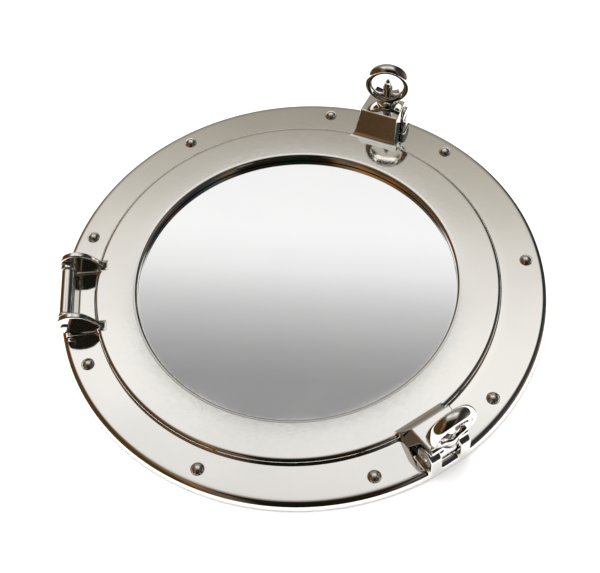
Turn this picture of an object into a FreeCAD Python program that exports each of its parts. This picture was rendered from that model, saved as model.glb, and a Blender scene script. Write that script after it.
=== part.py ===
import FreeCAD, Part
import os
from math import sin, cos, radians, pi, sqrt, atan2
from FreeCAD import Vector as V, Matrix, Placement, Rotation

os.makedirs("parts", exist_ok=True)

# Opening porthole with a mirrored pane. Millimetres. +Z is the outward normal of
# the bulkhead, the origin is the centre of the flange's flat back face, +X points
# from the hinge to the opening side, and the hinge axis runs along Y.

# ---------------------------------------------------------------- driving sizes
FLANGE_R = 190.5          # 15 in across
FLANGE_T = 8.0            # back face to flat top
FLANGE_ROLL = 5.5         # rolled outer edge
FLANGE_BORE_R = 147.2     # clear opening behind the door

SCREW_PCR = 176.2         # pitch radius of the fixing screws
SCREW_AZ = [0.0, 42.5, 77.5, 118.75, 160.0, 200.0, 241.25, 282.5, 317.5]
SCREW_R = 2.5             # M5
SCREW_HEAD_R = 5.0
SCREW_HEAD_H = 3.3
SCREW_LEN = 30.0          # under the head
SCREW_SHANK_R = 2.15      # relieved shank inside the flange
SCREW_SHANK_LEN = 8.5
SCREW_HOLE_R = 2.7

DOOR_X = -4.0             # door ring centre, set towards the hinge
DOOR_R = 158.6
DOOR_TOP = FLANGE_T + 4.9
DOOR_UNDER = FLANGE_T + 0.35
DOOR_EDGE = 3.6           # rounded outer edge
DOOR_OPEN_R = 124.9       # sight opening
DOOR_LIP = 2.1            # rounded inner edge
LIP_UNDER = FLANGE_T - 0.55
POCKET_R = 133.0          # rebate that holds the pane
DRUM_R = 145.2            # part of the door that drops into the flange
DRUM_BOTTOM = 2.45

PANE_R = 132.6
PANE_T = 3.0
GLAZING_T = 0.8
GLAZING_R = 126.4
BACKING_T = 1.2
RETAINER_R0 = 127.6
RETAINER_R1 = 144.2
RETAINER_T = 1.45
RETAINER_SCREWS = 8
RETAINER_PCR = 138.8
RET_SCREW_R = 1.5
RET_HEAD_R = 2.7
RET_SCREW_LEN = 7.0

SEAL_R0, SEAL_R1 = 149.7, 153.6
GROOVE_CLEAR = 0.15
SEAL_TOP = FLANGE_T + 2.2

# hinge
PIN_X, PIN_Z, HINGE_Y = -182.0, FLANGE_T + 10.0, -1.5
PIN_R = 3.0
RUN = 0.06                # running clearance on every pivot, radial
EAR_IN, EAR_OUT = 26.0, 31.0
KNUCKLE_R, KNUCKLE_H = 6.0, 20.8
COLLAR_R, COLLAR_H = 6.9, 4.8

# dogs: a swing bolt with a ring nut that clamps a forked lug on the door
DOG_AZ = {"upper": 61.7, "lower": -61.0}
LUG_AZ = {"upper": 62.1, "lower": -60.8}
DOG_SPIN = {"upper": 13.0, "lower": 0.0}    # how the ring of each nut stands
DOG_LEAN = {"upper": 0.0, "lower": 8.0}     # outward lean of each swing bolt at rest
NUT_LIFT = {"upper": 0.0, "lower": 1.5}     # how far each nut is backed off at rest
DOG_R = 181.0             # bolt axis and pivot from the centre
DOG_PIN_Z = FLANGE_T + 10.5
DOG_PIN_R = 3.0
EYE_R, EYE_H = 6.3, 7.3   # eye of the swing bolt
YOKE_IN, YOKE_OUT = 8.0, 17.0   # ears that carry the pivot, each side
YOKE_R, YOKE_X, YOKE_Z = 8.8, 182.4, FLANGE_T + 11.0
LUG_Z = FLANGE_T + 25.5   # top of the forked lug
LUG_UNDER = FLANGE_T + 20.9
LUG_BASE_R, LUG_TOP_R, LUG_END_R = 153.3, 163.5, 187.5
LUG_W0, LUG_W1, LUG_W2 = 18.5, 16.5, 15.2   # half widths: foot, brow, outer end
SLOT_HALF = 5.75
BOLT_R = 4.0              # M8
BOLT_TIP = FLANGE_T + 50.5
WASHER_Z0, WASHER_Z1, WASHER_R, WASHER_BORE = LUG_Z + 0.3, LUG_Z + 1.5, 8.4, 4.3
NUT_Z0 = WASHER_Z1 + 0.1
NUT_BORE = BOLT_R + 0.08
NUT_FOOT_R = 7.2
NUT_NECK_R = 6.3
RING_Z = FLANGE_T + 46.0
RING_M = 16.0             # centre of the ring's section
RING_A, RING_B = 3.3, 5.2 # half thickness in the ring's plane, and across it


def save(name, shape):
    shape.exportStep("parts/%s.step" % name)
    solids = shape.Solids
    print("%-24s %2d solid(s) %10.1f mm3 valid %s" % (
        name, len(solids), sum(s.Volume for s in solids), shape.isValid()))


def polyface(pts):
    return Part.Face(Part.makePolygon([V(*p) for p in pts] + [V(*pts[0])]))


def ring_of(profile, cx=0.0):
    """Turns an r, z outline about the vertical axis through (cx, 0)."""
    face = Part.Face(Part.Wire(profile))
    face.translate(V(cx, 0, 0))
    return face.revolve(V(cx, 0, 0), V(0, 0, 1), 360)


def seg(a, b):
    return Part.LineSegment(V(a[0], 0, a[1]), V(b[0], 0, b[1])).toShape()


def arc(a, m, b):
    return Part.Arc(V(a[0], 0, a[1]), V(m[0], 0, m[1]), V(b[0], 0, b[1])).toShape()


def tube(r1, r0, z0, z1, x=0.0, y=0.0):
    s = Part.makeCylinder(r1, z1 - z0, V(x, y, z0))
    return s.cut(Part.makeCylinder(r0, z1 - z0, V(x, y, z0))) if r0 else s


def at_dog(shape, az):
    """Moves a shape drawn with +X radial and +Y tangential round to a dog."""
    s = shape.copy()
    s.rotate(V(0, 0, 0), V(0, 0, 1), az)
    return s


# ---------------------------------------------------------------- flange ring
c45 = sqrt(0.5)
R, T, q = FLANGE_R, FLANGE_T, FLANGE_ROLL
flange = ring_of([
    seg((120, 0), (R - 0.8, 0)),
    seg((R - 0.8, 0), (R, 0.8)),
    seg((R, 0.8), (R, T - q)),
    arc((R, T - q), (R - q + q * c45, T - q + q * c45), (R - q, T)),
    seg((R - q, T), (120, T)),
    seg((120, T), (120, 0)),
])
flange = flange.cut(Part.makeCylinder(FLANGE_BORE_R, 3 * T, V(DOOR_X, 0, -T)))

# pairs of ears that carry the swing bolts, cast on the flange
for name, az in DOG_AZ.items():
    for side in (-1, 1):
        y0 = YOKE_IN if side > 0 else -YOKE_OUT
        w = YOKE_OUT - YOKE_IN
        ear = Part.makeCylinder(YOKE_R, w, V(YOKE_X, y0, YOKE_Z), V(0, 1, 0))
        ear = ear.fuse(Part.makeBox(2 * YOKE_R, w, YOKE_Z - 3.0, V(YOKE_X - YOKE_R, y0, 3.0)))
        # keep the foot of the ear inside the rim
        rim = Part.makeCylinder(R - 0.05, 60, V(0, 0, -1))
        ear = ear.common(rim)
        flange = flange.fuse(at_dog(ear, az))
flange = flange.removeSplitter()
for name, az in DOG_AZ.items():
    bore = Part.makeCylinder(DOG_PIN_R, 60, V(DOG_R, -30, DOG_PIN_Z), V(0, 1, 0))
    flange = flange.cut(at_dog(bore, az))

# fixing holes
for az in SCREW_AZ:
    a = radians(az)
    flange = flange.cut(Part.makeCylinder(SCREW_HOLE_R, T + 2, V(SCREW_PCR * cos(a), SCREW_PCR * sin(a), -1)))

# two countersunk holes from behind, for the screws that hold the hinge knuckle
HS_Y = [HINGE_Y - 12.0, HINGE_Y + 12.0]
HS_X = PIN_X + 0.5
for y in HS_Y:
    flange = flange.cut(Part.makeCylinder(2.2, T + 2, V(HS_X, y, -1)))
    flange = flange.cut(Part.makeCone(4.2, 2.2, 2.0, V(HS_X, y, 0)))
save("flange_ring", flange)

# ---------------------------------------------------------------- fixing screws
def domed_screw(x, y, z):
    h, r = SCREW_HEAD_H, SCREW_HEAD_R
    prof = [
        seg((0, 0), (r, 0)),
        seg((r, 0), (r, 0.5)),
        arc((r, 0.5), (rs2 * cos(m2), zc2 + rs2 * sin(m2)), (0, h)),
        seg((0, h), (0, 0)),
    ]
    head = ring_of(prof)
    shank = Part.makeCylinder(SCREW_SHANK_R, SCREW_SHANK_LEN + 0.5, V(0, 0, -SCREW_SHANK_LEN - 0.5))
    thread = Part.makeCylinder(SCREW_R, SCREW_LEN - 1.5 - SCREW_SHANK_LEN, V(0, 0, -(SCREW_LEN - 1.5)))
    tip = Part.makeCone(1.5, SCREW_R, 1.5, V(0, 0, -SCREW_LEN))
    s = head.fuse([shank, thread, tip]).removeSplitter()
    s.translate(V(x, y, z))
    return s


_h = SCREW_HEAD_H - 0.5
rs2 = (SCREW_HEAD_R ** 2 + _h * _h) / (2 * _h)
zc2 = SCREW_HEAD_H - rs2
m2 = 0.5 * (pi / 2 + atan2(0.5 - zc2, SCREW_HEAD_R))
save("mounting_screws", Part.makeCompound([
    domed_screw(SCREW_PCR * cos(radians(a)), SCREW_PCR * sin(radians(a)), T) for a in SCREW_AZ]))

# ---------------------------------------------------------------- hinge knuckle
def ycyl(r, y0, y1, x=PIN_X, z=PIN_Z):
    return Part.makeCylinder(r, y1 - y0, V(x, HINGE_Y + y0, z), V(0, 1, 0))


knuckle = ycyl(KNUCKLE_R, -KNUCKLE_H, KNUCKLE_H)
web = Part.makeBox(10.4, 2 * 18.0, PIN_Z - T, V(PIN_X - 4.9, HINGE_Y - 18.0, T))
knuckle = knuckle.fuse(web).removeSplitter()
knuckle = knuckle.cut(ycyl(PIN_R, -40, 40))
for y in HS_Y:
    knuckle = knuckle.cut(Part.makeCylinder(2.0, 6.0, V(HS_X, y, T - 0.5)))
save("hinge_knuckle", knuckle)

collars = []
for s in (-1, 1):
    a, b = sorted((s * (KNUCKLE_H + 0.05), s * (KNUCKLE_H + 0.05 + COLLAR_H)))
    c = ycyl(COLLAR_R, a, b).cut(ycyl(PIN_R, a - 1, b + 1))
    rims = [e for e in c.Edges if abs(e.Length - 2 * pi * COLLAR_R) < 1e-3]
    collars.append(c.makeFillet(0.8, rims))
save("hinge_collars", Part.makeCompound(collars))

pin = ycyl(PIN_R, -EAR_OUT - 0.3, EAR_OUT + 0.3)
for s in (-1, 1):
    a, b = sorted((s * (EAR_OUT + 0.25), s * (EAR_OUT + 1.7)))
    h = ycyl(3.9, a, b)
    outer = [e for e in h.Edges if abs(e.CenterOfMass.y - (HINGE_Y + s * (EAR_OUT + 1.7))) < 1e-3]
    h = h.makeFillet(0.9, outer)
    pin = pin.fuse(h)
save("hinge_pin", pin.removeSplitter())

hs = []
for y in HS_Y:
    body = Part.makeCylinder(2.0, T + 4.6, V(HS_X, y, 0.15))
    head = Part.makeCone(4.0, 2.0, 2.0, V(HS_X, y, 0.15))
    hs.append(body.fuse(head).removeSplitter())
save("hinge_knuckle_screws", Part.makeCompound(hs))

# ---------------------------------------------------------------- door ring
D, L = DOOR_EDGE, DOOR_LIP
Zt, Zu = DOOR_TOP, DOOR_UNDER
door = ring_of([
    seg((DOOR_OPEN_R, LIP_UNDER), (DOOR_OPEN_R, Zt - L)),
    arc((DOOR_OPEN_R, Zt - L), (DOOR_OPEN_R + L - L * c45, Zt - L + L * c45), (DOOR_OPEN_R + L, Zt)),
    seg((DOOR_OPEN_R + L, Zt), (DOOR_R - D, Zt)),
    arc((DOOR_R - D, Zt), (DOOR_R - D + D * c45, Zt - D + D * c45), (DOOR_R, Zt - D)),
    seg((DOOR_R, Zt - D), (DOOR_R, Zu)),
    seg((DOOR_R, Zu), (DRUM_R, Zu)),
    seg((DRUM_R, Zu), (DRUM_R, DRUM_BOTTOM)),
    seg((DRUM_R, DRUM_BOTTOM), (POCKET_R, DRUM_BOTTOM)),
    seg((POCKET_R, DRUM_BOTTOM), (POCKET_R, LIP_UNDER)),
    seg((POCKET_R, LIP_UNDER), (DOOR_OPEN_R, LIP_UNDER)),
], DOOR_X)

# leaf-shaped hinge ears standing on the ring
lean = [(-150.0, 4.2), (-155.5, 7.2), (-160.5, 14.0), (-165.5, 19.8), (-171.0, 22.6),
        (-177.0, 23.2), (-183.0, 21.2), (-188.0, 16.6), (-190.3, 10.6), (-188.8, 5.2),
        (-184.2, 2.2), (-178.0, 1.4), (-170.0, 1.2)]
for s in (-1, 1):
    y0 = HINGE_Y + (EAR_IN if s > 0 else -EAR_OUT)
    pts = [V(x, y0, T + z) for x, z in lean]
    sp = Part.BSplineCurve()
    sp.interpolate(pts)
    foot = [pts[-1], V(-150.0, y0, T + 1.2), pts[0]]
    w = Part.Wire([sp.toShape(), Part.LineSegment(foot[0], foot[1]).toShape(),
                   Part.LineSegment(foot[1], foot[2]).toShape()])
    ear = Part.Face(w).extrude(V(0, EAR_OUT - EAR_IN, 0))
    door = door.fuse(ear)

# forked lugs for the dogs
def lug():
    z = lambda h: T + h
    prof = [(LUG_BASE_R - 0.5, z(2.0)), (LUG_BASE_R, z(4.9)), (LUG_TOP_R, LUG_Z), (LUG_END_R - 4.0, LUG_Z),
            None, (LUG_END_R, LUG_Z - 4.0), (LUG_END_R, LUG_UNDER), (178.0, LUG_UNDER), (174.4, z(18.4)),
            (164.6, z(0.6)), (153.6, z(0.6))]
    e, last = [], None
    pts = [p for p in prof if p]
    for i, p in enumerate(pts):
        n = pts[(i + 1) % len(pts)]
        if p == (LUG_END_R - 4.0, LUG_Z):
            e.append(arc(p, (LUG_END_R - 4.0 + 4.0 * c45, LUG_Z - 4.0 + 4.0 * c45), n))
        else:
            e.append(seg(p, n))
    f = Part.Face(Part.Wire(e))
    f.translate(V(0, -30, 0))
    body = f.extrude(V(0, 60, 0))
    # flat sides that close in towards the brow and the outer end
    for s in (-1, 1):
        a = V(LUG_BASE_R, s * LUG_W0, z(4.9))
        b = V(LUG_TOP_R, s * LUG_W1, LUG_Z)
        c = V(LUG_END_R, s * LUG_W2, LUG_Z)
        n = (b - a).cross(c - a)
        n.normalize()
        if n.y * s < 0:
            n = n * -1
        big = Part.makeBox(200, 200, 60, V(-100, -100, 0))
        big.Placement = Placement(b, Rotation(V(0, 0, 1), n)).multiply(big.Placement)
        body = body.cut(big)
    # slot open outwards
    slot = Part.makeCylinder(SLOT_HALF, 40, V(DOG_R - 1.0, 0, z(5)))
    slot = slot.fuse(Part.makeBox(30, 2 * SLOT_HALF, 40, V(DOG_R - 1.0, -SLOT_HALF, z(5))))
    body = body.cut(slot)
    return body


for name, az in LUG_AZ.items():
    door = door.fuse(at_dog(lug(), az))
door = door.removeSplitter()
door = door.cut(ycyl(PIN_R + RUN, -40, 40))
# groove for the seal, cut after the lugs so that their feet stay clear of it
g0, g1 = SEAL_R0 - GROOVE_CLEAR, SEAL_R1 + GROOVE_CLEAR
door = door.cut(tube(g1, g0, Zu - 1, SEAL_TOP + GROOVE_CLEAR, DOOR_X))
rs_az = [i * 360.0 / RETAINER_SCREWS + 22.5 for i in range(RETAINER_SCREWS)]
for az in rs_az:
    x, y = DOOR_X + RETAINER_PCR * cos(radians(az)), RETAINER_PCR * sin(radians(az))
    door = door.cut(Part.makeCylinder(RET_SCREW_R, RET_SCREW_LEN + 0.5, V(x, y, DRUM_BOTTOM - 1.45)))
save("door_ring", door)

# ---------------------------------------------------------------- pane and its bed
z1 = LIP_UNDER
save("glazing_ring", tube(PANE_R, GLAZING_R, z1 - GLAZING_T, z1, DOOR_X))
z1 -= GLAZING_T
glass = tube(PANE_R, 0, z1 - PANE_T, z1, DOOR_X)
save("mirror_glass", glass)
z1 -= PANE_T
save("backing_plate", tube(PANE_R, 0, z1 - BACKING_T, z1, DOOR_X))
z1 -= BACKING_T
ret = tube(RETAINER_R1, RETAINER_R0, z1 - RETAINER_T, z1, DOOR_X)
screws = []
for az in rs_az:
    x, y = DOOR_X + RETAINER_PCR * cos(radians(az)), RETAINER_PCR * sin(radians(az))
    zb = z1 - RETAINER_T
    ret = ret.cut(Part.makeCylinder(RET_SCREW_R + 0.15, 4, V(x, y, zb - 1)))
    ret = ret.cut(Part.makeCone(RET_HEAD_R + 0.15, RET_SCREW_R + 0.15, 1.2, V(x, y, zb)))
    s = Part.makeCylinder(RET_SCREW_R, RET_SCREW_LEN, V(x, y, zb))
    s = s.fuse(Part.makeCone(RET_HEAD_R, RET_SCREW_R, 1.2, V(x, y, zb))).removeSplitter()
    screws.append(s)
save("retaining_ring", ret)
save("retaining_screws", Part.makeCompound(screws))
save("door_seal", tube(SEAL_R1, SEAL_R0, T + 0.1, SEAL_TOP, DOOR_X))

# ---------------------------------------------------------------- dogs
def leaned(shape, name):
    """Tips a swing bolt, or what it carries, outwards about its pivot."""
    s = shape.copy()
    s.rotate(V(DOG_R, 0, DOG_PIN_Z), V(0, 1, 0), DOG_LEAN[name])
    return at_dog(s, DOG_AZ[name])


for name, az in DOG_AZ.items():
    # pivot pin, peened at both ends
    p = Part.makeCylinder(DOG_PIN_R, 2 * YOKE_OUT + 1.2, V(DOG_R, -YOKE_OUT - 0.6, DOG_PIN_Z), V(0, 1, 0))
    ends = [e for e in p.Edges if abs(e.Length - 2 * pi * DOG_PIN_R) < 1e-3]
    p = p.makeFillet(0.5, ends)
    save(name + "_dog_pin", at_dog(p, az))

    # swing bolt: eye, shoulder and threaded shank with a pointed end
    b = Part.makeCylinder(EYE_R, 2 * EYE_H, V(DOG_R, -EYE_H, DOG_PIN_Z), V(0, 1, 0))
    edges = [e for e in b.Edges if abs(e.Length - 2 * pi * EYE_R) < 1e-3]
    b = b.makeFillet(0.8, edges)
    b = b.fuse(Part.makeCone(5.2, BOLT_R, 3.5, V(DOG_R, 0, DOG_PIN_Z + 4.5)))
    b = b.fuse(Part.makeCylinder(BOLT_R, BOLT_TIP - 6.5 - DOG_PIN_Z, V(DOG_R, 0, DOG_PIN_Z)))
    b = b.fuse(Part.makeCone(BOLT_R, 2.9, 3.0, V(DOG_R, 0, BOLT_TIP - 6.5)))
    b = b.fuse(Part.makeCone(2.9, 0.8, 3.5, V(DOG_R, 0, BOLT_TIP - 3.5)))
    b = b.removeSplitter()
    b = b.cut(Part.makeCylinder(DOG_PIN_R + RUN, 60, V(DOG_R, -30, DOG_PIN_Z), V(0, 1, 0)))
    save(name + "_swing_bolt", leaned(b, name))

    up = V(0, 0, NUT_LIFT[name])
    w = tube(WASHER_R, WASHER_BORE, WASHER_Z0, WASHER_Z1, DOG_R)
    w.translate(up)
    save(name + "_nut_washer", leaned(w, name))

    # ring nut: a tapped boss that spreads into an eye of oval section
    z0 = NUT_Z0
    body = ring_of([
        seg((0, z0), (NUT_FOOT_R - 0.5, z0)),
        seg((NUT_FOOT_R - 0.5, z0), (NUT_FOOT_R, z0 + 0.5)),
        seg((NUT_FOOT_R, z0 + 0.5), (NUT_FOOT_R, z0 + 1.2)),
        seg((NUT_FOOT_R, z0 + 1.2), (NUT_NECK_R, z0 + 2.4)),
        seg((NUT_NECK_R, z0 + 2.4), (NUT_NECK_R, z0 + 6.6)),
        seg((NUT_NECK_R, z0 + 6.6), (0, z0 + 6.6)),
        seg((0, z0 + 6.6), (0, z0)),
    ])
    flare = Part.makeCone(NUT_NECK_R - 0.3, 11.0, 7.5, V(0, 0, z0 + 1.6))
    flare = flare.common(Part.makeBox(10.6, 40, 40, V(-5.3, -20, z0)))
    sect = Part.Ellipse(V(RING_B, 0, RING_Z + RING_M), V(0, 0, RING_Z + RING_M + RING_A), V(0, 0, RING_Z + RING_M))
    eye = Part.Face(Part.Wire(sect.toShape())).revolve(V(0, 0, RING_Z), V(1, 0, 0), 360)
    eye = eye.cut(Part.makeBox(60, 60, 20, V(-30, -30, z0 + 0.25 - 20)))
    hole = Part.makeCylinder(RING_M - RING_A + 0.25, 60, V(-30, 0, RING_Z), V(1, 0, 0))
    nut = body.fuse(flare).cut(hole).fuse(eye)
    nut = nut.cut(Part.makeCylinder(NUT_BORE, RING_Z - z0, V(0, 0, z0 - 1)))
    nut.rotate(V(0, 0, 0), V(0, 0, 1), DOG_SPIN[name])
    nut.translate(V(DOG_R, 0, 0) + up)
    save(name + "_ring_nut", leaned(nut, name))
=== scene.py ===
import bpy
import math
import numpy as np
from math import sin, cos, pi, radians, sqrt
from mathutils import Vector, Matrix

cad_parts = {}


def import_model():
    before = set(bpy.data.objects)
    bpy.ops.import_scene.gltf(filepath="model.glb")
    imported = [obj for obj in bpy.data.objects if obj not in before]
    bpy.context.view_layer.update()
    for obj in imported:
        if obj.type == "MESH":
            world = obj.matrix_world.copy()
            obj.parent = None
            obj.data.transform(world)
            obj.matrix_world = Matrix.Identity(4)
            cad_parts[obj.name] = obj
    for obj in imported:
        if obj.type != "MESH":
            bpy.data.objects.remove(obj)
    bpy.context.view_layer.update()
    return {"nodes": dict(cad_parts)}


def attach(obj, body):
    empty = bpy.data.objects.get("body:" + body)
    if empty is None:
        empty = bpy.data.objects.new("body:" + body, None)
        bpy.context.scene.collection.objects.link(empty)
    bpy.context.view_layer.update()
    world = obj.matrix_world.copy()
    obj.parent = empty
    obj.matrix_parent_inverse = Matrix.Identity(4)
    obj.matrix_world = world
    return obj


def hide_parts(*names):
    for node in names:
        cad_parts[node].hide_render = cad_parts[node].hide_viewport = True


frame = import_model()
MM = 0.001
scene = bpy.context.scene

# ------------------------------------------------------------------ sizes (mm)
R, T, Q = 190.5, 8.0, 5.5
BORE = 147.2
DX = -4.0
DR, DTOP, DUNDER, DEDGE = 158.6, T + 4.9, T + 0.35, 3.6
DOPEN, DLIP, LIPU, POCKET, DRUM, DBOT = 124.9, 2.1, T - 0.55, 133.0, 145.2, 2.45
PX, PZ, HY, PR = -182.0, T + 10.0, -1.5, 3.0
EAR0, EAR1 = 26.0, 31.0
# azimuth of bolt, azimuth of lug, turn of the ring, outward lean, lift of the nut
DOGS = {"upper": (61.7, 62.1, 13.0, 0.0, 0.0), "lower": (-61.0, -60.8, 0.0, 8.0, 1.5)}
GR, GZ, GP = 181.0, T + 10.5, 3.0
LUGZ, LUGU = T + 25.5, T + 20.9
NZ0 = LUGZ + 1.6
RZ, RM, RA, RB = T + 46.0, 16.0, 3.3, 5.2
TIP = T + 50.5
SCREWS = [0.0, 42.5, 77.5, 118.75, 160.0, 200.0, 241.25, 282.5, 317.5]


# ------------------------------------------------------------------ camera
def make_camera():
    cam = bpy.data.cameras.new("camera")
    ob = bpy.data.objects.new("camera", cam)
    scene.collection.objects.link(ob)
    cam.sensor_width = 36.0
    cam.lens = 66.53
    cam.dof.use_dof = False
    cam.clip_start, cam.clip_end = 0.05, 50
    loc = Vector((-1.765, -501.757, 708.076 + T)) * MM
    aim = Vector((-1.765, -6.201, T)) * MM
    f = (aim - loc).normalized()
    right = Vector((1, 0, 0))
    up = right.cross(f)
    r = radians(-5.008)
    r2 = cos(r) * right + sin(r) * up
    u2 = -sin(r) * right + cos(r) * up
    m = Matrix((r2, u2, -f)).transposed().to_4x4()
    m.translation = loc
    ob.matrix_world = m
    scene.camera = ob


make_camera()


# ------------------------------------------------------------------ mesh tools
def link(name, verts, faces, body, nodes, mat, normals=None, sharp=35.0, smooth=True):
    me = bpy.data.meshes.new(name)
    me.from_pydata([tuple(v) for v in (np.asarray(verts) * MM)], [], [list(map(int, f)) for f in faces])
    me.validate()
    me.update()
    ob = bpy.data.objects.new(name, me)
    scene.collection.objects.link(ob)
    if smooth:
        me.polygons.foreach_set("use_smooth", [True] * len(me.polygons))
        if normals is not None and len(normals) == len(me.vertices):
            me.normals_split_custom_set_from_vertices([tuple(n) for n in normals])
        elif sharp:
            me.set_sharp_from_angle(angle=radians(sharp))
    me.materials.append(mat)
    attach(ob, body)
    for n in nodes:
        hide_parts(n)
    return ob


def lathe(profile, n=360, closed=True):
    """profile: (r, z, cx) points, anticlockwise in the r-z plane. Returns a tube of quads round Z."""
    p = np.array(profile, float)
    a = np.linspace(0, 2 * pi, n, endpoint=False)
    v = np.empty((n, len(p), 3))
    v[..., 0] = p[None, :, 2] + p[None, :, 0] * np.cos(a)[:, None]
    v[..., 1] = p[None, :, 0] * np.sin(a)[:, None]
    v[..., 2] = p[None, :, 1]
    m = len(p)
    f = []
    for i in range(n):
        j = (i + 1) % n
        for k in range(m if closed else m - 1):
            l = (k + 1) % m
            f.append((i * m + k, j * m + k, j * m + l, i * m + l))
    return v.reshape(-1, 3), f


def spun(profile, n=64):
    """An open r-z outline that starts and ends on the axis, turned into a closed solid."""
    p = [q for q in profile]
    inner = p[1:-1]
    a = np.linspace(0, 2 * pi, n, endpoint=False)
    v = [(0, 0, p[0][1])]
    for t in a:
        for r, z in inner:
            v.append((r * cos(t), r * sin(t), z))
    v.append((0, 0, p[-1][1]))
    m, last = len(inner), 1 + n * len(inner)
    f = []
    for i in range(n):
        j = (i + 1) % n
        f.append((0, 1 + j * m, 1 + i * m))
        for k in range(m - 1):
            f.append((1 + i * m + k, 1 + j * m + k, 1 + j * m + k + 1, 1 + i * m + k + 1))
        f.append((last, 1 + i * m + m - 1, 1 + j * m + m - 1))
    return np.array(v, float), f


def arcpts(c, r, a0, a1, n):
    return [(c[0] + r * cos(radians(a)), c[1] + r * sin(radians(a))) for a in np.linspace(a0, a1, n)]


def join(parts):
    vs, fs, k = [], [], 0
    for v, f in parts:
        vs.append(np.asarray(v, float))
        fs += [tuple(i + k for i in q) for q in f]
        k += len(v)
    return np.vstack(vs), fs


# ------------------------------------------------------------------ distance fields
def smin(a, b, k):
    h = np.maximum(k - np.abs(a - b), 0) / k
    return np.minimum(a, b) - h * h * k * 0.25


def smax(a, b, k):
    return -smin(-a, -b, k)


def nets(f, lo, hi, h, steps=4):
    """Surface nets: a quad mesh of f = 0, with its points moved onto the surface and its normals from the field."""
    lo, hi = np.array(lo, float), np.array(hi, float)
    n = np.ceil((hi - lo) / h).astype(int) + 1
    ax = [lo[i] + h * np.arange(n[i]) for i in range(3)]
    g = np.stack(np.meshgrid(*ax, indexing="ij"), -1).reshape(-1, 3)
    val = np.concatenate([f(c) for c in np.array_split(g, max(1, len(g) // 400000))]).reshape(n)
    inside = val < 0
    cells = n - 1
    cnt = np.zeros(cells)
    pos = np.zeros(tuple(cells) + (3,))
    corners = [(i, j, k) for i in (0, 1) for j in (0, 1) for k in (0, 1)]

    def sub(a, c):
        return a[c[0]:c[0] + cells[0], c[1]:c[1] + cells[1], c[2]:c[2] + cells[2]]

    for c in corners:
        for axis in range(3):
            if c[axis]:
                continue
            d = list(c)
            d[axis] = 1
            a, b = sub(val, c), sub(val, d)
            cross = (a < 0) != (b < 0)
            t = np.where(cross, a / np.where(cross, a - b, 1), 0)
            p = np.zeros(tuple(cells) + (3,))
            for q in range(3):
                p[..., q] = c[q]
            p[..., axis] = t
            pos += np.where(cross[..., None], p, 0)
            cnt += cross
    active = cnt > 0
    idx = -np.ones(cells, int)
    idx[active] = np.arange(active.sum())
    where = np.argwhere(active)
    v = lo + h * (where + pos[active] / cnt[active][:, None])
    faces = []
    for axis in range(3):
        u, w = [(1, 2), (2, 0), (0, 1)][axis]
        m = list(n)
        m[axis] -= 1
        sl0 = [slice(0, m[0]), slice(0, m[1]), slice(0, m[2])]
        sl1 = list(sl0)
        sl1[axis] = slice(1, n[axis])
        a, b = inside[tuple(sl0)], inside[tuple(sl1)]
        e = np.argwhere(a != b)
        ok = (e[:, u] > 0) & (e[:, w] > 0) & (e[:, u] < cells[u]) & (e[:, w] < cells[w])
        e = e[ok]
        s = a[tuple(e.T)]
        q = []
        for du, dw in ((0, 0), (-1, 0), (-1, -1), (0, -1)):
            c = e.copy()
            c[:, u] += du
            c[:, w] += dw
            q.append(idx[tuple(c.T)])
        q = np.stack(q, 1)
        q[~s] = q[~s][:, ::-1]
        faces.append(q)
    faces = np.vstack(faces)
    eps = h * 0.05

    def grad(p):
        gr = np.empty_like(p)
        for i in range(3):
            d = np.zeros(3)
            d[i] = eps
            gr[:, i] = (f(p + d) - f(p - d)) / (2 * eps)
        return gr

    start = v.copy()
    for _ in range(steps):
        gr = grad(v)
        l = np.maximum((gr ** 2).sum(1), 0.05)
        v = v - (f(v) / l)[:, None] * gr
        v = start + np.clip(v - start, -h * 0.9, h * 0.9)
    gr = grad(v)
    nrm = gr / np.maximum(np.linalg.norm(gr, axis=1), 1e-9)[:, None]
    return v, [tuple(q) for q in faces], nrm


def turn(v, az, r=0.0, about=None):
    """From a dog's own axes (X radial, Y tangential) to the row frame."""
    a = radians(az)
    m = np.array([[cos(a), -sin(a), 0], [sin(a), cos(a), 0], [0, 0, 1]])
    return np.asarray(v) @ m.T


# ------------------------------------------------------------------ materials
def nodes_of(name):
    m = bpy.data.materials.new(name)
    m.use_nodes = True
    nt = m.node_tree
    nt.nodes.clear()
    out = nt.nodes.new("ShaderNodeOutputMaterial")
    b = nt.nodes.new("ShaderNodeBsdfPrincipled")
    nt.links.new(b.outputs[0], out.inputs[0])
    return m, nt, b


def N(nt, kind, **kw):
    n = nt.nodes.new(kind)
    for k, v in kw.items():
        if hasattr(n, k):
            setattr(n, k, v)
        else:
            n.inputs[k.replace("_", " ")].default_value = v
    return n


def ramp(nt, src, stops):
    r = nt.nodes.new("ShaderNodeValToRGB")
    el = r.color_ramp.elements
    while len(el) < len(stops):
        el.new(0.5)
    for e, (p, c) in zip(el, stops):
        e.position = p
        e.color = (*c, 1) if len(c) == 3 else c
    nt.links.new(src, r.inputs[0])
    return r.outputs[0]


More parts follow.
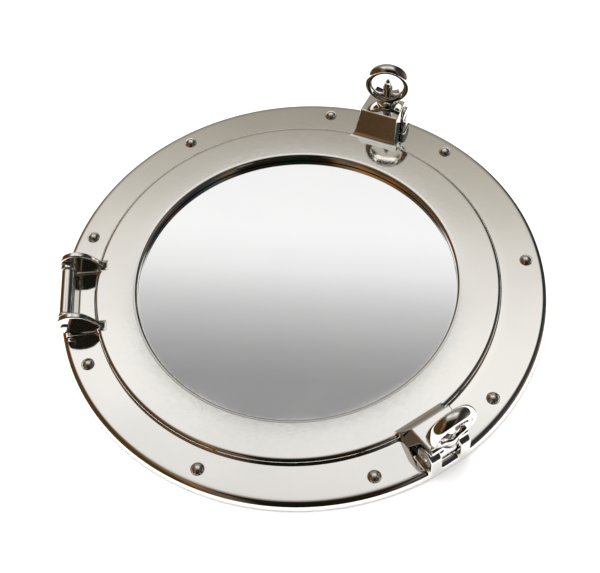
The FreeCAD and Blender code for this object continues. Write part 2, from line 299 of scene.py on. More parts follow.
def metal(name, base, warm, rough=(0.10, 0.2), bump=0.02, scratch=0.5, wear=(0.95, 0.93, 0.9), cast=0.0):
    m, nt, b = nodes_of(name)
    L = nt.links.new
    tc = N(nt, "ShaderNodeTexCoord")
    big = N(nt, "ShaderNodeTexNoise", Scale=14.0, Detail=3.0, Roughness=0.5)
    L(tc.outputs["Object"], big.inputs["Vector"])
    fine = N(nt, "ShaderNodeTexNoise", Scale=260.0, Detail=6.0, Roughness=0.65)
    L(tc.outputs["Object"], fine.inputs["Vector"])
    # hairline polishing marks that run in two directions
    mp = N(nt, "ShaderNodeMapping")
    mp.inputs["Scale"].default_value = (60.0, 900.0, 300.0)
    mp.inputs["Rotation"].default_value = (0.0, 0.0, 0.5)
    L(tc.outputs["Object"], mp.inputs["Vector"])
    hair = N(nt, "ShaderNodeTexNoise", Scale=4.0, Detail=5.0, Roughness=0.6)
    L(mp.outputs[0], hair.inputs["Vector"])
    mp2 = N(nt, "ShaderNodeMapping")
    mp2.inputs["Scale"].default_value = (700.0, 50.0, 260.0)
    mp2.inputs["Rotation"].default_value = (0.0, 0.0, -0.3)
    L(tc.outputs["Object"], mp2.inputs["Vector"])
    hair2 = N(nt, "ShaderNodeTexNoise", Scale=4.0, Detail=5.0, Roughness=0.6)
    L(mp2.outputs[0], hair2.inputs["Vector"])
    hmix = N(nt, "ShaderNodeMath", operation="ADD")
    L(hair.outputs[0], hmix.inputs[0])
    L(hair2.outputs[0], hmix.inputs[1])
    # colour: plate that is a little warmer in patches, paler where edges are rubbed
    col = ramp(nt, big.outputs[0], [(0.32, base), (0.68, warm)])
    geo = N(nt, "ShaderNodeNewGeometry")
    edge = ramp(nt, geo.outputs["Pointiness"], [(0.5, (0, 0, 0)), (0.56, (1, 1, 1))])
    mx = N(nt, "ShaderNodeMix", data_type="RGBA")
    L(edge, mx.inputs[0])
    L(col, mx.inputs[6])
    mx.inputs[7].default_value = (*wear, 1)
    L(mx.outputs[2], b.inputs["Base Color"])
    b.inputs["Metallic"].default_value = 1.0
    # roughness
    mr = N(nt, "ShaderNodeMapRange")
    mr.inputs["From Min"].default_value = 0.3
    mr.inputs["From Max"].default_value = 0.7
    mr.inputs["To Min"].default_value = rough[0]
    mr.inputs["To Max"].default_value = rough[1]
    rm = N(nt, "ShaderNodeMath", operation="MULTIPLY_ADD")
    L(fine.outputs[0], rm.inputs[0])
    rm.inputs[1].default_value = 0.5
    half = N(nt, "ShaderNodeMath", operation="MULTIPLY")
    L(hmix.outputs[0], half.inputs[0])
    half.inputs[1].default_value = 0.25
    L(half.outputs[0], rm.inputs[2])
    L(rm.outputs[0], mr.inputs["Value"])
    L(mr.outputs[0], b.inputs["Roughness"])
    # bump: hairlines and a faint orange peel
    h = N(nt, "ShaderNodeMath", operation="MULTIPLY_ADD")
    L(hmix.outputs[0], h.inputs[0])
    h.inputs[1].default_value = scratch
    L(fine.outputs[0], h.inputs[2])
    bp = N(nt, "ShaderNodeBump", Strength=bump, Distance=0.0004)
    L(h.outputs[0], bp.inputs["Height"])
    if cast:
        lump = N(nt, "ShaderNodeTexNoise", Scale=55.0, Detail=2.0, Roughness=0.4)
        L(tc.outputs["Object"], lump.inputs["Vector"])
        bp2 = N(nt, "ShaderNodeBump", Strength=cast, Distance=0.001)
        L(lump.outputs[0], bp2.inputs["Height"])
        L(bp2.outputs[0], bp.inputs["Normal"])
    L(bp.outputs[0], b.inputs["Normal"])
    return m


def mirror_mat():
    m, nt, b = nodes_of("silvered_glass")
    L = nt.links.new
    tc = N(nt, "ShaderNodeTexCoord")
    smear = N(nt, "ShaderNodeTexNoise", Scale=9.0, Detail=4.0, Roughness=0.55, Distortion=0.6)
    L(tc.outputs["Object"], smear.inputs["Vector"])
    dust = N(nt, "ShaderNodeTexNoise", Scale=900.0, Detail=2.0)
    L(tc.outputs["Object"], dust.inputs["Vector"])
    L(ramp(nt, smear.outputs[0], [(0.3, (0.90, 0.905, 0.90)), (0.7, (0.93, 0.93, 0.925))]), b.inputs["Base Color"])
    b.inputs["Metallic"].default_value = 1.0
    mr = N(nt, "ShaderNodeMapRange")
    mr.inputs["From Min"].default_value = 0.45
    mr.inputs["From Max"].default_value = 0.75
    mr.inputs["To Min"].default_value = 0.015
    mr.inputs["To Max"].default_value = 0.06
    L(smear.outputs[0], mr.inputs["Value"])
    L(mr.outputs[0], b.inputs["Roughness"])
    bp = N(nt, "ShaderNodeBump", Strength=0.01, Distance=0.0002)
    L(dust.outputs[0], bp.inputs["Height"])
    L(bp.outputs[0], b.inputs["Normal"])
    b.inputs["Coat Weight"].default_value = 0.3
    b.inputs["Coat Roughness"].default_value = 0.02
    return m


def rubber_mat():
    m, nt, b = nodes_of("black_rubber")
    L = nt.links.new
    tc = N(nt, "ShaderNodeTexCoord")
    n1 = N(nt, "ShaderNodeTexNoise", Scale=300.0, Detail=6.0, Roughness=0.7)
    L(tc.outputs["Object"], n1.inputs["Vector"])
    L(ramp(nt, n1.outputs[0], [(0.3, (0.012, 0.012, 0.013)), (0.75, (0.035, 0.034, 0.033))]), b.inputs["Base Color"])
    mr = N(nt, "ShaderNodeMapRange")
    mr.inputs["To Min"].default_value = 0.55
    mr.inputs["To Max"].default_value = 0.85
    L(n1.outputs[0], mr.inputs["Value"])
    L(mr.outputs[0], b.inputs["Roughness"])
    bp = N(nt, "ShaderNodeBump", Strength=0.3, Distance=0.0003)
    L(n1.outputs[0], bp.inputs["Height"])
    L(bp.outputs[0], b.inputs["Normal"])
    return m


nickel = metal("polished_nickel", (0.80, 0.785, 0.755), (0.84, 0.825, 0.80), rough=(0.035, 0.10), bump=0.02)
nickel_cast = metal("polished_cast_nickel", (0.79, 0.775, 0.745), (0.84, 0.825, 0.80), rough=(0.035, 0.10), bump=0.02, cast=0.035)
steel = metal("zinc_plated_steel", (0.60, 0.61, 0.62), (0.70, 0.70, 0.68), rough=(0.22, 0.42), bump=0.15)
brass = metal("turned_brass", (0.74, 0.58, 0.30), (0.66, 0.49, 0.24), rough=(0.2, 0.4), bump=0.15, wear=(0.85, 0.7, 0.4))
alu = metal("mill_aluminium", (0.60, 0.61, 0.62), (0.66, 0.66, 0.66), rough=(0.3, 0.5), bump=0.15)
satin_nickel = metal("satin_nickel_screws", (0.86, 0.85, 0.82), (0.90, 0.885, 0.86), rough=(0.20, 0.32), bump=0.03)
silver = mirror_mat()
rubber = rubber_mat()


# ------------------------------------------------------------------ flange ring
def flange_edge(p):
    """Distance below the flange's own surface, near its rim, for fillets that meet it."""
    rho = np.hypot(p[:, 0], p[:, 1])
    qx, qz = rho - (R - Q), p[:, 2] - (T - Q)
    return np.hypot(np.maximum(qx, 0), np.maximum(qz, 0)) - Q + np.minimum(np.maximum(qx, qz), 0)


prof = [(BORE, 0.6, DX), (BORE + 0.6, 0.0, DX)]
prof += [(r, 0.0, 0) for r in np.linspace(158, R - 1.2, 6)]
prof += [(r, z, 0) for r, z in arcpts((R - 1.0, 1.0), 1.0, -90, 0, 6)]
prof += [(r, z, 0) for r, z in arcpts((R - Q, T - Q), Q, 0, 90, 22)]
prof += [(r, T, 0) for r in np.linspace(R - Q - 1.5, 158, 8)]
prof += [(BORE + 0.5, T, DX), (BORE, T - 0.5, DX)]
v, f = lathe(prof, 384)
link("flange_plate", v, f, "frame", ["flange_ring"], nickel)


def yoke(p):
    """One pair of ears on the flange, in the dog's own axes."""
    x, y, z = p[:, 0], p[:, 1], p[:, 2]
    d2 = np.hypot(x - 182.4, z - (T + 11.0)) - 8.8
    col = np.maximum(np.abs(x - 182.4) - 8.8, np.maximum(z - (T + 11.0), -z))
    d2 = np.minimum(d2, col)
    w = np.abs(np.abs(y) - 12.5) - 4.5
    e = smax(d2, w, 1.6)
    e = smin(e, flange_edge(p) + 0.04, 2.6)
    e = smax(e, np.hypot(x, y) - (R - 0.02), 0.3)
    # bore
    e = smax(e, -(np.hypot(x - GR, z - GZ) - (GP + 0.02)), 0.5)
    e = smax(e, 3.2 - z, 0.2)
    return smax(e, np.maximum(np.abs(y) - 22.5, np.maximum(166.0 - x, x - 195)), 0.2)


for k, (az, laz, sp, lean_deg, lift) in DOGS.items():
    v, f, nn = nets(yoke, (165, -23.5, 2.4), (192, 23.5, T + 21.0), 0.42)
    link(k + "_dog_yoke", turn(v, az), f, "frame", [], nickel_cast, normals=turn(nn, az))


# ------------------------------------------------------------------ fixing screws
def dome(x, y):
    h = 3.3 - 0.5
    rs = (25 + h * h) / (2 * h)
    zc = 3.3 - rs
    a0 = math.degrees(math.atan2(0.5 - zc, 5.0))
    p = [(0, 3.3)] + arcpts((0, zc), rs, 89.5, a0, 16)[0:] + [(5.0, 0.02), (2.15, 0.0)]
    p += [(2.15, -8.5), (2.5, -8.6), (2.5, -9.0)]
    z = -9.0
    while z > -28.0:
        p += [(2.5, z - 0.2), (2.15, z - 0.4), (2.5, z - 0.6)]
        z -= 0.8
    p += [(2.4, -28.6), (1.5, -30.0), (0, -30.0)]
    v, f = spun([(r, z) for r, z in p][::-1], 48)
    return v + np.array((x, y, T)), f


v, f = join([dome(176.2 * cos(radians(a)), 176.2 * sin(radians(a))) for a in SCREWS])
link("domed_fixing_screws", v, f, "frame", ["mounting_screws"], satin_nickel)

# ------------------------------------------------------------------ door ring
prof = [(DOPEN, LIPU, DX)]
prof += [(r, z, DX) for r, z in [(DRR, DZZ) for DRR, DZZ in [(POCKET, LIPU), (POCKET, DBOT), (DRUM, DBOT), (DRUM, DUNDER),
        (149.55, DUNDER), (149.55, T + 2.35), (153.75, T + 2.35), (153.75, DUNDER), (DR - 0.4, DUNDER), (DR, DUNDER + 0.4)]]]
prof += [(r, z, DX) for r, z in arcpts((DR - DEDGE, DTOP - DEDGE), DEDGE, 0, 90, 20)]
prof += [(r, DTOP, DX) for r in np.linspace(DR - DEDGE - 1.2, DOPEN + DLIP + 1.2, 8)]
prof += [(r, z, DX) for r, z in arcpts((DOPEN + DLIP, DTOP - DLIP), DLIP, 90, 180, 14)]
v, f = lathe(prof, 384)
link("door_ring_body", v, f, "door", ["door_ring"], nickel)


def door_edge(p):
    rho = np.hypot(p[:, 0] - DX, p[:, 1])
    qx, qz = rho - (DR - DEDGE), p[:, 2] - (DTOP - DEDGE)
    d = np.hypot(np.maximum(qx, 0), np.maximum(qz, 0)) - DEDGE + np.minimum(np.maximum(qx, qz), 0)
    return smax(d, DUNDER - p[:, 2], 0.3)


def lug_field(az):
    a0 = np.array((153.3, 18.5, T + 4.9))
    b0 = np.array((163.5, 16.5, LUGZ))
    c0 = np.array((187.5, 15.2, LUGZ))
    n = np.cross(b0 - a0, c0 - a0)
    n /= np.linalg.norm(n)
    n *= np.sign(n[1])
    ca, sa = cos(radians(az)), sin(radians(az))

    def f(p):
        x, y, z = p[:, 0], p[:, 1], p[:, 2]
        k = 1.1
        front = (x - 153.3) * -0.8962 + (z - (T + 4.9)) * 0.4437
        top = z - LUGZ
        d = smax(front, top, k)
        q = np.stack((x, np.abs(y), z), 1)
        side = (q - b0) @ n
        d = smax(d, side, k)
        # rounded outer end
        ex, ez = x - 183.5, z - (LUGZ - 4.0)
        d = smax(d, np.where((ex > 0) & (ez > 0), np.hypot(ex, ez) - 4.0, np.maximum(ex, ez) - 4.0), 0.4)
        # open underside behind the wall
        back = (x - 164.6) * 0.893 - (z - (T + 0.6)) * 0.450
        void = smax(z - LUGU, -back, 3.2)
        d = smax(d, -void, k)
        # slot
        sl = np.hypot(np.minimum(x - (GR - 1.0), 0), y) - 5.75
        d = smax(d, -sl, 1.0)
        d = smax(d, (T + 0.6) - z, 0.4)
        w = np.stack((ca * x - sa * y, sa * x + ca * y, z), 1)
        ring = door_edge(w) + 0.03
        d = smin(d, ring, 3.4)
        d = smax(d, (T + 0.5) - z, 0.3)
        return smax(d, np.maximum(np.maximum(np.abs(y) - 27.0, 143.0 - x), x - 190), 0.2)
    return f


for k, (az, laz, sp, lean_deg, lift) in DOGS.items():
    v, f, nn = nets(lug_field(laz), (142, -28, T - 0.4), (189, 28, LUGZ + 1.0), 0.48)
    link(k + "_dog_lug", turn(v, laz), f, "door", [], nickel_cast, normals=turn(nn, laz))

# hinge ears
lean = np.array([(-150.0, 4.2), (-155.5, 7.2), (-160.5, 14.0), (-165.5, 19.8), (-171.0, 22.6),
                 (-177.0, 23.2), (-183.0, 21.2), (-188.0, 16.6), (-190.3, 10.6), (-188.8, 5.2),
                 (-184.2, 2.2), (-178.0, 1.4), (-170.0, 1.2)])


def catmull(p, n=6):
    out = []
    for i in range(len(p) - 1):
        p0, p1, p2, p3 = p[max(i - 1, 0)], p[i], p[i + 1], p[min(i + 2, len(p) - 1)]
        for t in np.arange(n) / n:
            out.append(0.5 * ((2 * p1) + (-p0 + p2) * t + (2 * p0 - 5 * p1 + 4 * p2 - p3) * t * t
                              + (-p0 + 3 * p1 - 3 * p2 + p3) * t ** 3))
    out.append(p[-1])
    return np.array(out)


lean[0] = (-152.8, 1.2)
outline = np.vstack([catmull(lean)])
outline[:, 1] += T


def poly_dist(x, z, P):
    d = np.full(len(x), 1e9)
    s = np.ones(len(x))
    m = len(P)
    for i in range(m):
        a, b = P[i], P[(i - 1) % m]
        ex, ez = b - a
        wx, wz = x - a[0], z - a[1]
        t = np.clip((wx * ex + wz * ez) / (ex * ex + ez * ez), 0, 1)
        d = np.minimum(d, (wx - ex * t) ** 2 + (wz - ez * t) ** 2)
        c1, c2, c3 = z >= a[1], z < b[1], ex * wz > ez * wx
        flip = (c1 & c2 & c3) | (~c1 & ~c2 & ~c3)
        s = np.where(flip, -s, s)
    return s * np.sqrt(d)


def ear_field(yc):
    def f(p):
        x, y, z = p[:, 0], p[:, 1], p[:, 2]
        d = smax(poly_dist(x, z, outline), np.abs(y - yc) - 2.5, 1.5)
        d = smax(d, -(np.hypot(x - PX, z - PZ) - (PR + 0.06)), 0.5)
        d = smin(d, door_edge(p) + 0.03, 3.2)
        d = smax(d, (T + 0.5) - z, 0.3)
        return smax(d, np.maximum(np.abs(y - yc) - 9.5, x + 144.0), 0.2)
    return f


for k, yc in (("upper", HY + 28.5), ("lower", HY - 28.5)):
    v, f, nn = nets(ear_field(yc), (-191.5, yc - 10.5, T - 0.4), (-143.0, yc + 10.5, T + 24.5), 0.45)
    link(k + "_hinge_ear", v, f, "door", [], nickel_cast, normals=nn)


# ------------------------------------------------------------------ hinge
def knuckle(p):
    x, y, z = p[:, 0] - PX, p[:, 1] - HY, p[:, 2]
    c = smax(np.hypot(x, z - PZ) - 5.98, np.abs(y) - 20.75, 1.2)
    web = smax(np.maximum(np.abs(x - 0.3) - 5.1, np.abs(y) - 17.9), z - PZ, 0.6)
    d = smin(c, web, 1.2)
    return smax(d, T + 0.02 - z, 0.2)


v, f, nn = nets(knuckle, (PX - 7.5, HY - 22, T - 0.5), (PX + 7.5, HY + 22, PZ + 7), 0.4)
link("hinge_knuckle_body", v, f, "frame", ["hinge_knuckle"], nickel_cast, normals=nn)


def along_y(v, y0=0.0):
    """Turns a shape spun about Z to lie along Y on the hinge axis."""
    v = np.asarray(v)
    return np.stack((v[:, 0] + PX, v[:, 2] + HY + y0, -v[:, 1] + PZ), 1)


parts = []
for s in (-1, 1):
    a, b = sorted((s * 20.85, s * 25.65))
    p = [(3.0, a), (6.0, a)] + arcpts((6.0, a + 0.9), 0.9, -90, 0, 6)[1:] + arcpts((6.0, b - 0.9), 0.9, 0, 90, 6) + [(3.0, b)]
    v, f = lathe([(r, z, 0) for r, z in p], 72)
    parts.append((along_y(v), f))
v, f = join(parts)
link("hinge_end_collars", v, f, "frame", ["hinge_collars"], nickel)

e = EAR1 + 0.25
p = [(0, -e - 1.45)] + [(2.2, -e - 1.42)] + arcpts((2.9, -e - 0.45), 0.97, -80, 0, 7) + [(3.87, -e), (3.0, -e)]
p += [(3.0, e), (3.87, e)] + arcpts((2.9, e + 0.45), 0.97, 0, 80, 7) + [(2.2, e + 1.42), (0, e + 1.45)]
v, f = spun(p, 64)
link("hinge_pin_rod", along_y(v), f, "frame", ["hinge_pin"], nickel)


# ------------------------------------------------------------------ dogs
def ring_nut(p):
    x, y, z = p[:, 0], p[:, 1], p[:, 2]
    rho = np.hypot(x, y)
    hz = z - NZ0
    # tapped boss
    zz = np.array([-1.0, 0.0, 0.4, 1.2, 1.9, 2.6, 4.0, 8.0])
    rr = np.array([6.8, 6.8, 7.15, 7.2, 6.8, 6.35, 6.2, 6.2])
    boss = (rho - np.interp(hz, zz, rr)) * 0.9
    boss = smax(boss, hz - 7.0, 1.2)
    # flanks that spread into the eye
    fl = (rho - np.interp(hz, [-1.0, 1.6, 9.1], [6.0, 6.0, 10.8])) * 0.85
    fl = smax(fl, np.abs(x) - 5.3, 1.6)
    fl = smax(fl, hz - 9.0, 1.0)
    zc = z - RZ
    rh = np.hypot(y, zc) - RM
    stem = smax(smin(boss, fl, 1.5), (RM - RA + 0.1) - np.hypot(y, zc), 1.6)
    # eye of full, slightly flattened oval section
    ex = 2.0
    k0 = (np.abs(rh / RA) ** ex + np.abs(x / RB) ** ex) ** (1 / ex)
    g = np.sqrt((np.abs(rh / RA) ** (ex - 1) / RA) ** 2 + (np.abs(x / RB) ** (ex - 1) / RB) ** 2) / np.maximum(k0, 0.05) ** (ex - 1)
    ring = (k0 - 1) / np.maximum(g, 0.12)
    d = smin(ring, stem, 2.6)
    d = smax(d, -hz, 0.5)
    bore = smax(rho - 4.08, z - (RZ - 8.0), 0.2)
    return smax(d, -bore, 0.5)


def thread(r, depth, pitch, z0, z1, n=40, per=8):
    """A right-hand screw thread, as a closed skin with flat ends run out to the root."""
    rows = int((z1 - z0) / pitch * per)
    v, f = [(0, 0, z0)], []
    for i in range(rows + 1):
        z = z0 + (z1 - z0) * i / rows
        fade = min(1.0, i / (per * 1.5), (rows - i) / (per * 1.5))
        for j in range(n):
            t = 2 * pi * j / n
            ph = (z / pitch - t / (2 * pi)) % 1.0
            tri = abs(ph - 0.5) * 2
            tri = min(max((tri - 0.12) / 0.76, 0.0), 1.0)
            rr = r - depth * (1 - tri * fade)
            v.append((rr * cos(t), rr * sin(t), z))
    v.append((0, 0, z1))
    last = len(v) - 1
    for j in range(n):
        k = (j + 1) % n
        f.append((0, 1 + k, 1 + j))
        for i in range(rows):
            a, b = 1 + i * n, 1 + (i + 1) * n
            f.append((a + j, a + k, b + k, b + j))
        a = 1 + rows * n
        f.append((a + j, a + k, last))
    return np.array(v), f


def swing_eye(p):
    x, y, z = p[:, 0], p[:, 1], p[:, 2] - GZ
    c = smax(np.hypot(x, z) - 6.25, np.abs(y) - 7.25, 1.6)
    s = smax(np.hypot(x, y) - 3.9, np.abs(z - 8.0) - 8.0, 0.3)
    d = smin(c, s, 2.6)
    d = smax(d, -(np.hypot(x, z) - (GP + 0.06)), 0.5)
    return d


def leaned(v, lean_deg, lift=0.0, about=True):
    """Lifts along the bolt, then tips outwards about the pivot; directions only if about is False."""
    v = np.array(v, float)
    a = radians(lean_deg)
    if about:
        v[:, 2] += lift
        v = v - (GR, 0, GZ)
    w = np.stack((v[:, 0] * cos(a) + v[:, 2] * sin(a), v[:, 1], -v[:, 0] * sin(a) + v[:, 2] * cos(a)), 1)
    return w + (GR, 0, GZ) if about else w


for k, (az, laz, sp, ld, lift) in DOGS.items():
    v, f, nn = nets(ring_nut, (-9.0, -20.4, NZ0 - 0.8), (9.0, 20.4, RZ + RM + RA + 0.8), 0.4)
    a = radians(sp)
    m = np.array([[cos(a), -sin(a), 0], [sin(a), cos(a), 0], [0, 0, 1]])
    v, nn = v @ m.T, nn @ m.T
    v[:, 0] += GR
    link(k + "_ring_nut_casting", turn(leaned(v, ld, lift), az), f, k + "_nut", [k + "_ring_nut"], nickel_cast,
         normals=turn(leaned(nn, ld, about=False), az))

    p = [(4.3, LUGZ + 0.3), (8.1, LUGZ + 0.3), (8.4, LUGZ + 0.6), (8.4, LUGZ + 1.2), (8.1, LUGZ + 1.5), (4.3, LUGZ + 1.5)]
    v, f = lathe([(r, z, 0) for r, z in p], 72)
    v[:, 0] += GR
    link(k + "_plain_washer", turn(leaned(v, ld, lift), az), f, k + "_washer", [k + "_nut_washer"], nickel)

    v, f, nn = nets(swing_eye, (-7.5, -8.4, GZ - 7.5), (7.5, 8.4, GZ + 17.0), 0.4)
    v[:, 0] += GR
    link(k + "_swing_bolt_eye", turn(leaned(v, ld), az), f, k + "_bolt", [k + "_swing_bolt"], nickel_cast,
         normals=turn(leaned(nn, ld, about=False), az))
    tv, tf = thread(4.0, 0.62, 1.25, GZ + 12.0, TIP - 6.3)
    pv, pf = spun([(0, TIP - 8.0), (3.35, TIP - 8.0), (3.35, TIP - 6.3), (3.2, TIP - 5.2), (2.9, TIP - 3.8), (2.3, TIP - 2.2),
                   (1.5, TIP - 0.8), (0.8, TIP - 0.15), (0, TIP)], 48)
    v, f = join([(tv, tf), (pv, pf)])
    v[:, 0] += GR
    link(k + "_swing_bolt_shank", turn(leaned(v, ld), az), f, k + "_bolt", [], nickel)

    e = 17.0 + 0.6
    p = [(0, -e)] + [(1.6, -e + 0.02)] + arcpts((2.3, -e + 0.7), 0.7, -85, 0, 6) + [(3.0, -e + 0.75), (3.0, e - 0.75)] \
        + arcpts((2.3, e - 0.7), 0.7, 0, 85, 6) + [(1.6, e - 0.02), (0, e)]
    v, f = spun(p, 56)
    v = np.stack((v[:, 0] + GR, v[:, 2], -v[:, 1] + GZ), 1)
    link(k + "_pivot_pin_rod", turn(v, az), f, "frame", [k + "_dog_pin"], nickel)

# ------------------------------------------------------------------ pane
p = [(0, 3.65)] + [(r, 3.65) for r in (60, 120, 132.3)] + [(132.6, 3.95), (132.6, 6.35), (132.3, 6.65)] + [(r, 6.65) for r in (120, 90, 60, 30)] + [(0, 6.65)]
v, f = spun(p, 256)
v[:, 0] += DX
link("mirror_pane", v, f, "door", ["mirror_glass"], silver)

for n, mat in (("glazing_ring", rubber), ("door_seal", rubber), ("backing_plate", alu), ("retaining_ring", brass),
               ("retaining_screws", steel), ("hinge_knuckle_screws", steel)):
    ob = frame["nodes"][n]
    ob.data.materials.clear()
    ob.data.materials.append(mat)


# ------------------------------------------------------------------ stage and light
def world():
    """A white studio with a dark side behind the viewer: the plate mirrors it, so it sets every tone on the metal."""
    w = bpy.data.worlds.new("studio")
    scene.world = w
    w.use_nodes = True
    nt = w.node_tree
    nt.nodes.clear()
    L = nt.links.new
    out = nt.nodes.new("ShaderNodeOutputWorld")
    bg = nt.nodes.new("ShaderNodeBackground")
    tc = nt.nodes.new("ShaderNodeTexCoord")
    sep = nt.nodes.new("ShaderNodeSeparateXYZ")
    L(tc.outputs["Generated"], sep.inputs[0])
    # elevation angle over the horizon ahead (+Y) through the zenith to behind (-Y), 0 to 1
    at = nt.nodes.new("ShaderNodeMath")
    at.operation = "ARCTAN2"
    L(sep.outputs["Z"], at.inputs[0])
    L(sep.outputs["Y"], at.inputs[1])
    mr = nt.nodes.new("ShaderNodeMapRange")
    mr.inputs["From Min"].default_value = 0.0
    mr.inputs["From Max"].default_value = pi
    L(at.outputs[0], mr.inputs["Value"])
    g = lambda v: (v, v, v)
    deg = lambda d: d / 180.0
    # the screens hang a little out of level
    tip = nt.nodes.new("ShaderNodeMath")
    tip.operation = "MULTIPLY_ADD"
    L(sep.outputs["X"], tip.inputs[0])
    tip.inputs[1].default_value = -8.0 / 180.0
    L(mr.outputs[0], tip.inputs[2])
    arch = ramp(nt, tip.outputs[0], [
        (deg(0), (0.27, 0.25, 0.215)), (deg(40), (0.30, 0.28, 0.24)), (deg(45.9), (0.375, 0.35, 0.305)),
        (deg(47.7), (0.49, 0.46, 0.405)), (deg(49.0), (0.585, 0.555, 0.495)), (deg(50.3), (0.64, 0.61, 0.55)),
        (deg(52.3), (0.83, 0.81, 0.765)), (deg(54.5), (0.93, 0.91, 0.88)), (deg(57.5), (1.04, 1.03, 1.0)),
        (deg(61), (1.08, 1.07, 1.05)), (deg(62.8), (0.95, 0.945, 0.93)), (deg(65), (0.94, 0.93, 0.915)),
        (deg(67), (0.84, 0.83, 0.81)), (deg(74), (0.70, 0.69, 0.67)), (deg(84), (0.44, 0.41, 0.38)),
        (deg(93), (0.30, 0.27, 0.24)), (deg(100), (0.05, 0.045, 0.04)), (deg(112), (0.016, 0.013, 0.010)),
        (deg(150), (0.009, 0.008, 0.006)), (deg(180), (0.008, 0.008, 0.008))])
    # an oval graded screen overhead, which the pane mirrors
    oval = ramp(nt, tip.outputs[0], [
        (deg(47.0), (0.94, 0.94, 0.94)), (deg(52.3), (1.01, 1.01, 1.01)), (deg(54.2), (0.88, 0.88, 0.88)),
        (deg(56.0), (0.62, 0.62, 0.62)), (deg(58.2), (0.41, 0.41, 0.41)), (deg(59.8), (0.325, 0.325, 0.325)), (deg(64), (0.318, 0.318, 0.318))])

    def math_node(op, a, b):
        n = nt.nodes.new("ShaderNodeMath")
        n.operation = op
        for k, q in enumerate((a, b)):
            if isinstance(q, (int, float)):
                n.inputs[k].default_value = q
            elif q is not None:
                L(q, n.inputs[k])
        return n.outputs[0]

    zz = math_node("MAXIMUM", sep.outputs["Z"], 0.001)
    u = math_node("ADD", math_node("MULTIPLY", math_node("DIVIDE", sep.outputs["X"], zz), 0.7094), 0.00224)
    v = math_node("ADD", math_node("MULTIPLY", math_node("DIVIDE", sep.outputs["Y"], zz), 0.7094), -0.50406)
    rr = math_node("SQRT", math_node("ADD", math_node("MULTIPLY", u, u), math_node("MULTIPLY", v, v)), 0.0)
    outside = nt.nodes.new("ShaderNodeMapRange")
    outside.inputs["From Min"].default_value = 0.1254
    outside.inputs["From Max"].default_value = 0.1268
    L(rr, outside.inputs["Value"])
    both = nt.nodes.new("ShaderNodeMix")
    both.data_type = "RGBA"
    L(outside.outputs[0], both.inputs[0])
    L(oval, both.inputs[6])
    L(arch, both.inputs[7])
    arch = both.outputs[2]
    # brown and green things behind the viewer and to the sides
    blob = nt.nodes.new("ShaderNodeTexNoise")
    blob.inputs["Scale"].default_value = 3.2
    blob.inputs["Detail"].default_value = 2.0
    L(tc.outputs["Generated"], blob.inputs["Vector"])
    tint = ramp(nt, blob.outputs[0], [(0.34, (0.35, 1.0, 0.65)), (0.44, (0.9, 0.85, 0.8)), (0.55, (1.0, 0.9, 0.7)), (0.66, (3.2, 1.9, 0.8))])
    behind = nt.nodes.new("ShaderNodeMapRange")
    behind.inputs["From Min"].default_value = deg(98)
    behind.inputs["From Max"].default_value = deg(108)
    L(mr.outputs[0], behind.inputs["Value"])
    mix = nt.nodes.new("ShaderNodeMix")
    mix.data_type = "RGBA"
    mix.blend_type = "MULTIPLY"
    L(behind.outputs[0], mix.inputs[0])
    L(arch, mix.inputs[6])
    L(tint, mix.inputs[7])
    # the white screens only reach so far to either side: brown room to the left, blue-black to the right
    xr = nt.nodes.new("ShaderNodeMapRange")
    xr.inputs["From Min"].default_value = -1.0
    xr.inputs["From Max"].default_value = 1.0
    L(sep.outputs["X"], xr.inputs["Value"])
    span = lambda x: (x + 1.0) / 2.0
    side = ramp(nt, xr.outputs[0], [
        (span(-1.0), (0.10, 0.06, 0.025)), (span(-0.72), (0.075, 0.036, 0.008)), (span(-0.45), (0.14, 0.12, 0.10)),
        (span(0.45), (0.10, 0.10, 0.10)), (span(0.62), (0.022, 0.024, 0.035)), (span(0.85), (0.05, 0.05, 0.052)), (span(1.0), (0.16, 0.155, 0.145))])
    smix = nt.nodes.new("ShaderNodeMix")
    smix.data_type = "RGBA"
    smix.blend_type = "MULTIPLY"
    smix.inputs[0].default_value = 0.6
    L(side, smix.inputs[6])
    L(tint, smix.inputs[7])
    cut = ramp(nt, xr.outputs[0], [(span(-0.50), (1, 1, 1)), (span(-0.34), (0, 0, 0)), (span(0.34), (0, 0, 0)), (span(0.50), (1, 1, 1))])
    fin = nt.nodes.new("ShaderNodeMix")
    fin.data_type = "RGBA"
    L(cut, fin.inputs[0])
    L(mix.outputs[2], fin.inputs[6])
    L(smix.outputs[2], fin.inputs[7])
    L(fin.outputs[2], bg.inputs[0])
    bg.inputs[1].default_value = 1.0
    L(bg.outputs[0], out.inputs[0])


world()


def floor():
    me = bpy.data.meshes.new("floor")
    s = 3.0
    me.from_pydata([(-s, -s, -0.0003), (s, -s, -0.0003), (s, s, -0.0003), (-s, s, -0.0003)], [], [(0, 1, 2, 3)])
    ob = bpy.data.objects.new("floor", me)
    scene.collection.objects.link(ob)
    m, nt, b = nodes_of("pale_floor")
    n1 = N(nt, "ShaderNodeTexNoise", Scale=6.0, Detail=2.0)
    nt.links.new(ramp(nt, n1.outputs[0], [(0.3, (0.93, 0.93, 0.93)), (0.7, (0.95, 0.95, 0.95))]), b.inputs["Base Color"])
    b.inputs["Roughness"].default_value = 0.9
    me.materials.append(m)


floor()


def area(name, loc, aim, size, power, color=(1, 1, 1)):
    l = bpy.data.lights.new(name, "AREA")
    l.shape = "RECTANGLE"
    l.size, l.size_y = size
    l.energy = power
    l.color = color
    ob = bpy.data.objects.new(name, l)
    scene.collection.objects.link(ob)
    ob.location = loc
    ob.rotation_mode = "QUATERNION"
    ob.rotation_quaternion = (Vector(aim) - Vector(loc)).to_track_quat("-Z", "Y")
    ob.visible_glossy = False
    return ob


area("overhead", (-0.1, 0.1, 2.0), (0, 0, 0), (3.4, 3.4), 112)

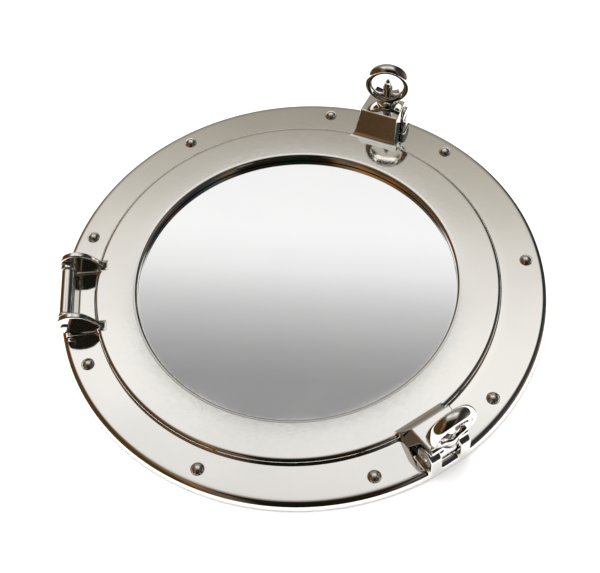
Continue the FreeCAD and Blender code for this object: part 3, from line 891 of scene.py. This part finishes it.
scene.view_settings.view_transform = "Standard"
scene.view_settings.look = "None"
